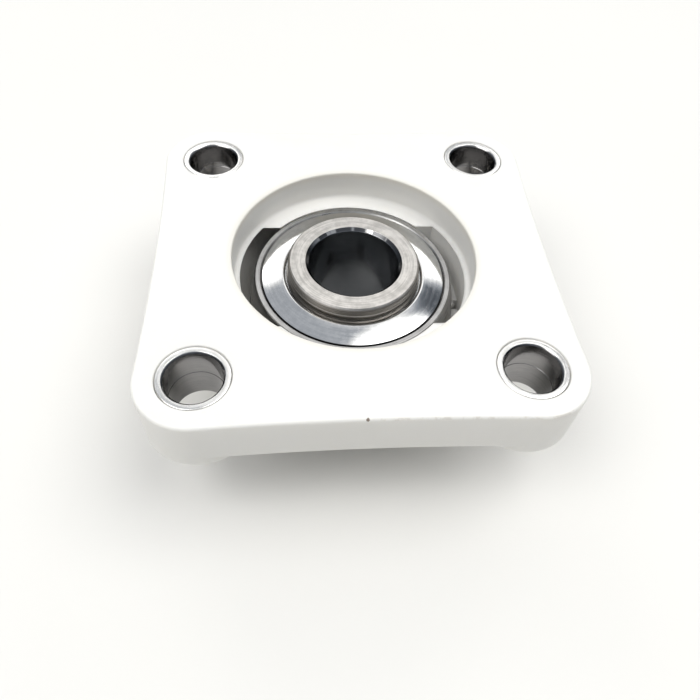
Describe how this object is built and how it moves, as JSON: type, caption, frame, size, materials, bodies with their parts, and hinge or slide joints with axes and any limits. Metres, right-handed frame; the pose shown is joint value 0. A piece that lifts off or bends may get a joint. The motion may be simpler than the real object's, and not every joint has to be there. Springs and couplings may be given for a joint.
{
  "type": "four-bolt flange mount ball bearing",
  "caption": "Square plastic flange housing with steel-sleeved bolt holes and a self-aligning ball bearing insert for a round shaft.",
  "frame": {"origin": "on the shaft axis, at the end face of the inner ring's long side, which the part stands on", "axes": "+Z along the shaft axis, out of the mounting face; +X and +Y along the sides of the square flange, with the anti-rotation pin on the +X side and the grease nipple on the +Y side"},
  "size_m": [0.0864, 0.0864, 0.034],
  "materials": {
    "housing_plastic": "white moulded thermoplastic, fine satin",
    "sleeve_steel": "turned stainless steel",
    "nipple_steel": "plated steel, bright",
    "pin_steel": "ground steel pin, bright",
    "ring_steel": "fine ground bearing steel",
    "ball_steel": "lapped bearing balls, mirror bright",
    "cage_steel": "pressed steel sheet",
    "seal_rubber": "black nitrile, matte",
    "slinger_steel": "polished stainless pressing",
    "screw_steel": "dark hardened steel"
  },
  "bodies": {
    "housing": {"housing": "housing_plastic", "bolt_sleeve_1": "sleeve_steel", "bolt_sleeve_2": "sleeve_steel", "bolt_sleeve_3": "sleeve_steel", "bolt_sleeve_4": "sleeve_steel", "grease_nipple": "nipple_steel"},
    "pin": {"anti_rotation_pin": "pin_steel"},
    "outer_race": {"outer_ring": "ring_steel", "seal_back": "seal_rubber", "seal_front": "seal_rubber"},
    "inner_race": {"inner_ring": "ring_steel", "slinger_back": "slinger_steel", "slinger_front": "slinger_steel"},
    "cage": {"cage_half_back": "cage_steel", "cage_half_front": "cage_steel", "cage_rivet_1": "cage_steel", "cage_rivet_2": "cage_steel", "cage_rivet_3": "cage_steel", "cage_rivet_4": "cage_steel", "cage_rivet_5": "cage_steel", "cage_rivet_6": "cage_steel", "cage_rivet_7": "cage_steel", "cage_rivet_8": "cage_steel"},
    "ball_1": {"ball_1": "ball_steel"},
    "ball_2": {"ball_2": "ball_steel"},
    "ball_3": {"ball_3": "ball_steel"},
    "ball_4": {"ball_4": "ball_steel"},
    "ball_5": {"ball_5": "ball_steel"},
    "ball_6": {"ball_6": "ball_steel"},
    "ball_7": {"ball_7": "ball_steel"},
    "ball_8": {"ball_8": "ball_steel"},
    "set_screw_1": {"set_screw_1": "screw_steel"},
    "set_screw_2": {"set_screw_2": "screw_steel"}
  },
  "joints": [
    {"name": "seat_tilt_front_back", "type": "hinge", "parent": "housing", "child": "pin", "pos_m": [0, 0, 0.0183], "axis": [0.1045, 0.9945, 0], "range_deg": [-3, 3]},
    {"name": "seat_tilt_about_pin", "type": "hinge", "parent": "pin", "child": "outer_race", "pos_m": [0, 0, 0.0183], "axis": [0.9945, -0.1045, 0], "range_deg": [-3, 3]},
    {"name": "shaft_spin", "type": "hinge", "parent": "outer_race", "child": "inner_race", "pos_m": [0, 0, 0.0183], "axis": [0, 0, 1], "continuous": true},
    {"name": "cage_spin", "type": "hinge", "parent": "outer_race", "child": "cage", "pos_m": [0, 0, 0.0183], "axis": [0, 0, 1], "continuous": true},
    {"name": "ball_spin_1", "type": "hinge", "parent": "cage", "child": "ball_1", "pos_m": [0.01547, 0.00641, 0.0183], "axis": [0, 0, 1], "continuous": true},
    {"name": "ball_spin_2", "type": "hinge", "parent": "cage", "child": "ball_2", "pos_m": [0.00641, 0.01547, 0.0183], "axis": [0, 0, 1], "continuous": true},
    {"name": "ball_spin_3", "type": "hinge", "parent": "cage", "child": "ball_3", "pos_m": [-0.00641, 0.01547, 0.0183], "axis": [0, 0, 1], "continuous": true},
    {"name": "ball_spin_4", "type": "hinge", "parent": "cage", "child": "ball_4", "pos_m": [-0.01547, 0.00641, 0.0183], "axis": [0, 0, 1], "continuous": true},
    {"name": "ball_spin_5", "type": "hinge", "parent": "cage", "child": "ball_5", "pos_m": [-0.01547, -0.00641, 0.0183], "axis": [0, 0, 1], "continuous": true},
    {"name": "ball_spin_6", "type": "hinge", "parent": "cage", "child": "ball_6", "pos_m": [-0.00641, -0.01547, 0.0183], "axis": [0, 0, 1], "continuous": true},
    {"name": "ball_spin_7", "type": "hinge", "parent": "cage", "child": "ball_7", "pos_m": [0.00641, -0.01547, 0.0183], "axis": [0, 0, 1], "continuous": true},
    {"name": "ball_spin_8", "type": "hinge", "parent": "cage", "child": "ball_8", "pos_m": [0.01547, -0.00641, 0.0183], "axis": [0, 0, 1], "continuous": true},
    {"name": "set_screw_slide_1", "type": "slide", "parent": "inner_race", "child": "set_screw_1", "axis": [-0.5, -0.866, 0], "range_m": [-0.0004, 0.003]},
    {"name": "set_screw_slide_2", "type": "slide", "parent": "inner_race", "child": "set_screw_2", "axis": [1, 0, 0], "range_m": [-0.0004, 0.003]}
  ],
  "couplings": [
    {"joint": "cage_spin", "follows": "shaft_spin", "ratio": 0.38152},
    {"joint": "ball_spin_1", "follows": "shaft_spin", "ratio": -1.9917},
    {"joint": "ball_spin_2", "follows": "shaft_spin", "ratio": -1.9917},
    {"joint": "ball_spin_3", "follows": "shaft_spin", "ratio": -1.9917},
    {"joint": "ball_spin_4", "follows": "shaft_spin", "ratio": -1.9917},
    {"joint": "ball_spin_5", "follows": "shaft_spin", "ratio": -1.9917},
    {"joint": "ball_spin_6", "follows": "shaft_spin", "ratio": -1.9917},
    {"joint": "ball_spin_7", "follows": "shaft_spin", "ratio": -1.9917},
    {"joint": "ball_spin_8", "follows": "shaft_spin", "ratio": -1.9917}
  ]
}
